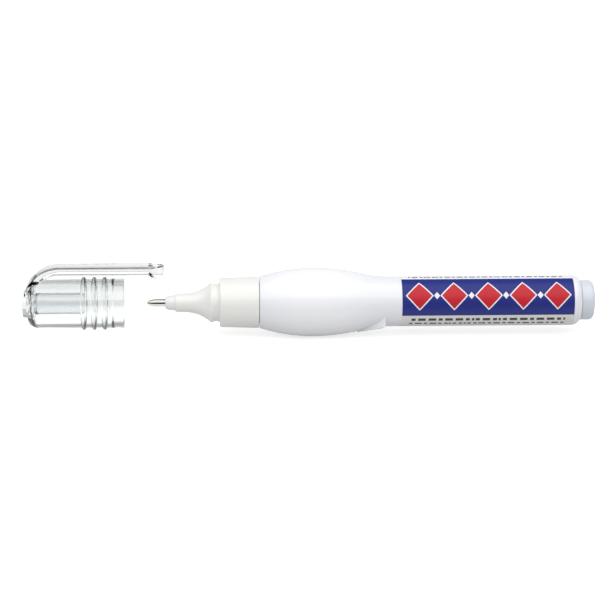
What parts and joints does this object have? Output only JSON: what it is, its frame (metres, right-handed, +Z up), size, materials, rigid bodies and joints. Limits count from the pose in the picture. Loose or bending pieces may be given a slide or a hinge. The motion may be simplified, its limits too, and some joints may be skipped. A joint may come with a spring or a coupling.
{
  "type": "correction pen",
  "caption": "Squeezable correction pen with a bulged barrel, sprung ball-valve metal tip, rear plug and a clear pull-off cap with a pocket clip.",
  "frame": {"origin": "on the surface that the pen lies on, under the middle of the pen with its cap drawn off", "axes": "+X along the pen from the writing tip to the end plug, +Z up through the pocket clip"},
  "size_m": [0.1704, 0.0204, 0.022],
  "materials": {
    "barrel_white": "soft satin",
    "section_white": "satin",
    "holder_white": "satin",
    "plug_white": "satin",
    "label_film": "gloss print",
    "tip_metal": "bright drawn",
    "ball_metal": "polished",
    "valve_steel": "drawn",
    "retainer_white": "satin",
    "shaker_steel": "polished",
    "cap_clear": "clear",
    "seal_frost": "frosted"
  },
  "bodies": {
    "pen": {"squeeze_barrel": "barrel_white", "barrel_label": "label_film", "end_plug": "plug_white", "front_section": "section_white", "tip_holder": "holder_white", "metal_tip": "tip_metal", "needle_spring": "valve_steel", "spring_retainer": "retainer_white"},
    "needle": {"valve_needle": "valve_steel"},
    "ball": {"tip_ball": "ball_metal"},
    "shaker": {"shaker_ball": "shaker_steel"},
    "cap": {"cap_shell": "cap_clear", "cap_seal": "seal_frost"}
  },
  "joints": [
    {"name": "needle_push", "type": "slide", "parent": "pen", "child": "needle", "axis": [1, 0, 0], "range_m": [0, 0.00025], "stiffness_N_per_m": 150, "springref_m": -0.0004, "deforming": ["needle_spring"]},
    {"name": "ball_roll", "type": "hinge", "parent": "needle", "child": "ball", "pos_m": [-0.04793, 0, 0.01025], "axis": [0, 1, 0], "continuous": true},
    {"name": "shaker_rattle", "type": "slide", "parent": "pen", "child": "shaker", "axis": [1, 0, 0], "range_m": [-0.0595, 0.0218]},
    {"name": "cap_pull", "type": "slide", "parent": "pen", "child": "cap", "axis": [1, 0, 0], "range_m": [-0.02, 0.02825]}
  ]
}
